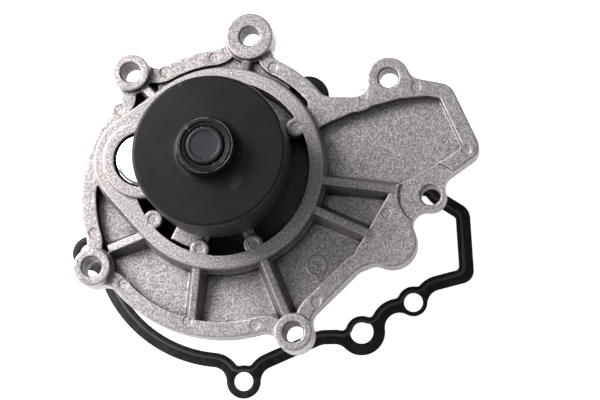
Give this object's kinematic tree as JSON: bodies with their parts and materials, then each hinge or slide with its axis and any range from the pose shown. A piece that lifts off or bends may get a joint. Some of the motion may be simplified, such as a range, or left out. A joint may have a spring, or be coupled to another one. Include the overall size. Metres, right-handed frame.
{
  "type": "engine coolant pump",
  "caption": "Engine coolant pump with a smooth drive pulley on a shaft and bearing, a cast housing with a side wing and bolt bosses, a seal, an impeller and a loose gasket.",
  "frame": {"origin": "where the shaft axis meets the housing's mounting face", "axes": "+Z along the shaft towards the pulley, +X towards the outlet wing"},
  "size_m": [0.1898, 0.1684, 0.092],
  "materials": {
    "cast_aluminium": "fine-grained die casting",
    "black_steel": "satin black coating",
    "dark_steel": "dark turned steel",
    "bright_steel": "bright zinc plated",
    "bearing_steel": "ground",
    "spring_steel": "drawn wire",
    "rubber": "matt",
    "carbon": "lapped carbon",
    "ceramic": "lapped ceramic",
    "plastic": "glass-filled moulding",
    "cage_plastic": "natural polyamide",
    "gasket_coat": "rubber-coated steel sheet",
    "gasket_bead": "moulded bead"
  },
  "bodies": {
    "housing": {"housing": "cast_aluminium", "core_plug": "bright_steel", "bearing_outer_ring": "bearing_steel", "bearing_seal_front": "rubber", "bearing_seal_rear": "rubber", "seal_cup": "bright_steel", "seal_bellows": "rubber", "seal_spring": "spring_steel"},
    "rotor": {"shaft": "dark_steel", "pulley": "black_steel", "slinger": "bright_steel", "mating_ring": "ceramic", "mating_ring_boot": "rubber", "impeller_bush": "bearing_steel", "impeller": "plastic"},
    "rear_row": {"bearing_balls_rear": "bearing_steel", "bearing_cage_rear": "cage_plastic"},
    "front_row": {"bearing_balls_front": "bearing_steel", "bearing_cage_front": "cage_plastic"},
    "carbon": {"carbon_ring": "carbon"},
    "gasket": {"gasket_carrier": "gasket_coat", "gasket_bead": "gasket_bead"}
  },
  "joints": [
    {"name": "rotor_spin", "type": "hinge", "parent": "housing", "child": "rotor", "pos_m": [0, 0, 0], "axis": [0, 0, 1], "continuous": true},
    {"name": "rear_row_spin", "type": "hinge", "parent": "housing", "child": "rear_row", "pos_m": [0, 0, 0], "axis": [0, 0, 1], "continuous": true},
    {"name": "front_row_spin", "type": "hinge", "parent": "housing", "child": "front_row", "pos_m": [0, 0, 0], "axis": [0, 0, 1], "continuous": true},
    {"name": "carbon_float", "type": "slide", "parent": "housing", "child": "carbon", "axis": [0, 0, 1], "range_m": [0, 0.0008], "stiffness_N_per_m": 2000, "springref_m": -0.002},
    {"name": "gasket_lift", "type": "slide", "parent": "housing", "child": "gasket", "axis": [0, 0, 1], "range_m": [0, 0.029]}
  ],
  "couplings": [
    {"joint": "rear_row_spin", "follows": "rotor_spin", "ratio": 0.3922},
    {"joint": "front_row_spin", "follows": "rotor_spin", "ratio": 0.3922}
  ]
}
